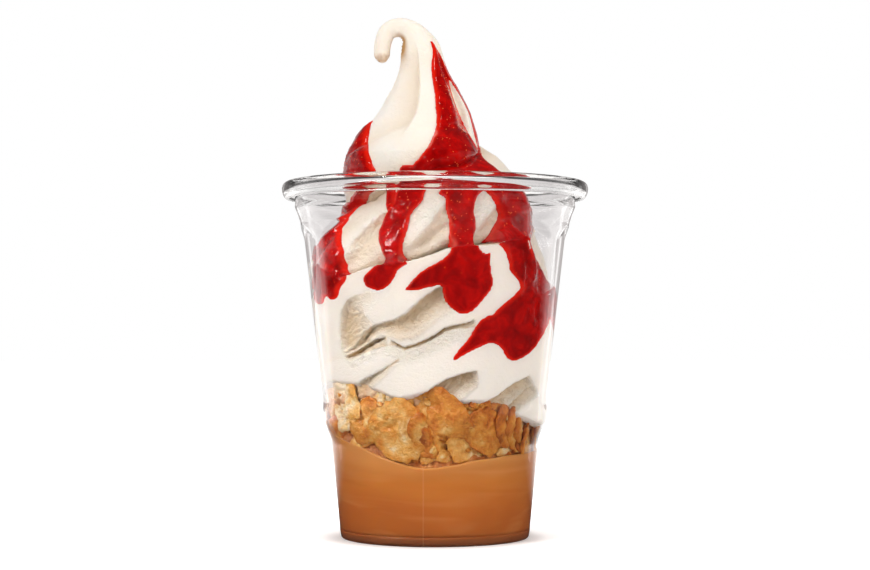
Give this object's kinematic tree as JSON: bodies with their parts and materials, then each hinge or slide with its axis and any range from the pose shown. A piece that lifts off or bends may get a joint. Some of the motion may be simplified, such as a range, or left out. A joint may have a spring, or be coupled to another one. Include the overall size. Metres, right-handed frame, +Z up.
{
  "type": "ice cream sundae",
  "caption": "Soft-serve sundae in a clear faceted cup: a tall twisted swirl with a curled tip, strawberry sauce, a crunchy flake layer and caramel below.",
  "frame": {"origin": "centre of the cup's foot ring, at the level it stands on", "axes": "+Z up along the cup's axis to the tip of the swirl, -Y towards the front with the sauce, +X to the right of the front; the curled tip leans towards -X"},
  "size_m": [0.095, 0.095, 0.1613],
  "materials": {
    "cup": "clear, polished",
    "caramel": "thick glossy syrup",
    "flakes": "dry toasted crisps",
    "ice_cream": "soft satin",
    "strawberry_sauce": "wet gloss"
  },
  "bodies": {
    "root": {"cup": "cup", "caramel": "caramel", "flakes": "flakes", "ice_cream": "ice_cream", "strawberry_sauce": "strawberry_sauce"}
  },
  "joints": []
}
